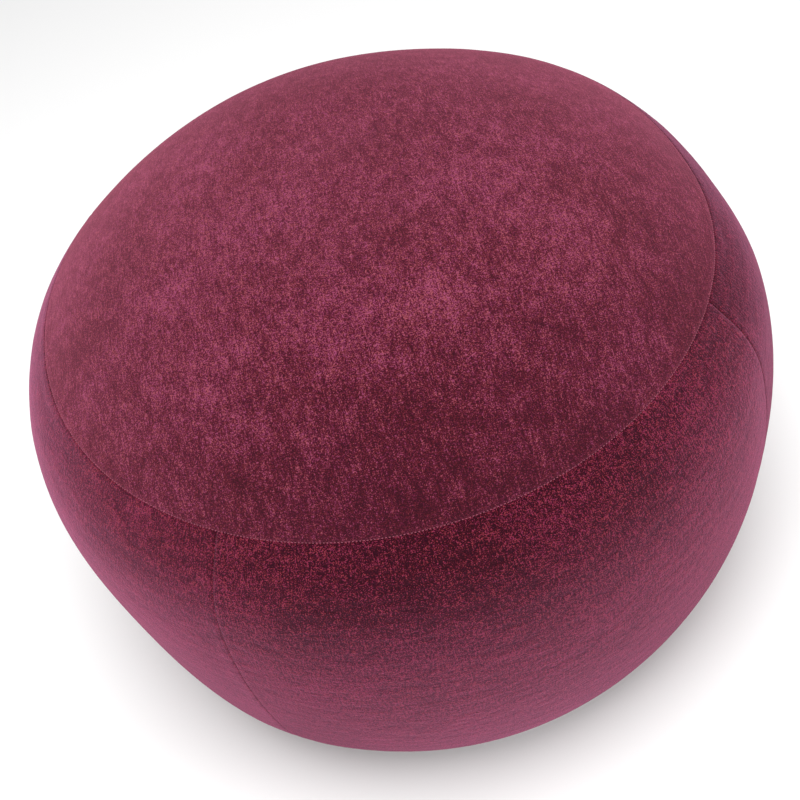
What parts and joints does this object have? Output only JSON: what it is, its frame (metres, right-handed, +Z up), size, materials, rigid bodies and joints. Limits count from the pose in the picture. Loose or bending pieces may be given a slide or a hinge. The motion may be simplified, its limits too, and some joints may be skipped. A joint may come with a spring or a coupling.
{
  "type": "wobble cushion",
  "caption": "Round pouf-height wobble cushion: domed velour top, four-panel side wall, zipped anti-slip base, foam jacket over an air bladder that lets the seat tip.",
  "frame": {"origin": "middle of the flat base, on the floor plane", "axes": "+Z up the axis of the round cushion; -Y towards the front side panel"},
  "size_m": [0.6002, 0.6002, 0.4302],
  "materials": {
    "velour": "deep-pile velour",
    "base_cloth": "woven, rubber-backed",
    "lining_cloth": "woven backing",
    "label_cloth": "satin ribbon",
    "zip_tape": "woven tape",
    "zip_coil": "extruded nylon",
    "zip_metal": "satin lacquer",
    "foam": "open-cell foam",
    "bladder_film": "flocked film",
    "valve_plastic": "moulded"
  },
  "bodies": {
    "base": {"cover_side_front": "velour", "cover_side_right": "velour", "cover_side_back": "velour", "cover_side_left": "velour", "cover_base_panel": "base_cloth", "side_seam_allowances": "lining_cloth", "base_seam_allowance": "lining_cloth", "care_label": "label_cloth", "zip_tape_upper": "zip_tape", "zip_tape_lower": "zip_tape", "zip_coil_upper": "zip_coil", "zip_coil_lower": "zip_coil", "zip_stop_closed_end": "zip_metal", "zip_stop_open_end": "zip_metal", "foam_side_wall": "foam", "foam_base_ring": "foam", "bladder_lower_shell": "bladder_film", "valve_boss": "valve_plastic"},
    "air_core": {"bladder_weld_band": "bladder_film"},
    "seat": {"cover_top_panel": "velour", "top_seam_allowance": "lining_cloth", "foam_topper": "foam", "bladder_upper_shell": "bladder_film"},
    "slider": {"zip_slider": "zip_metal"},
    "pull": {"zip_pull": "zip_metal"},
    "plug": {"valve_plug": "valve_plastic"}
  },
  "joints": [
    {"name": "tilt_fore_aft", "type": "hinge", "parent": "base", "child": "air_core", "pos_m": [0, 0, 0.19886], "axis": [1, 0, 0], "range_deg": [-6, 6], "stiffness_Nm_per_rad": 300, "deforming": ["cover_side_front", "cover_side_right", "cover_side_back", "cover_side_left", "side_seam_allowances", "foam_side_wall", "bladder_lower_shell"]},
    {"name": "tilt_side_to_side", "type": "hinge", "parent": "air_core", "child": "seat", "pos_m": [0, 0, 0.19886], "axis": [0, 1, 0], "range_deg": [-6, 6], "stiffness_Nm_per_rad": 300, "deforming": ["cover_side_front", "cover_side_right", "cover_side_back", "cover_side_left", "side_seam_allowances", "foam_side_wall", "bladder_upper_shell"]},
    {"name": "zip_run", "type": "hinge", "parent": "base", "child": "slider", "pos_m": [0, 0, 0.02679], "axis": [0, 0, 1], "range_deg": [0, 171.5]},
    {"name": "zip_pull_flip", "type": "hinge", "parent": "slider", "child": "pull", "pos_m": [0.12625, 0.2287, 0.02502], "axis": [-0.3106, -0.5627, -0.766], "range_deg": [0, 175]},
    {"name": "valve_plug_pull", "type": "slide", "parent": "base", "child": "plug", "axis": [0, 0, -1], "range_m": [0, 0.012]}
  ]
}
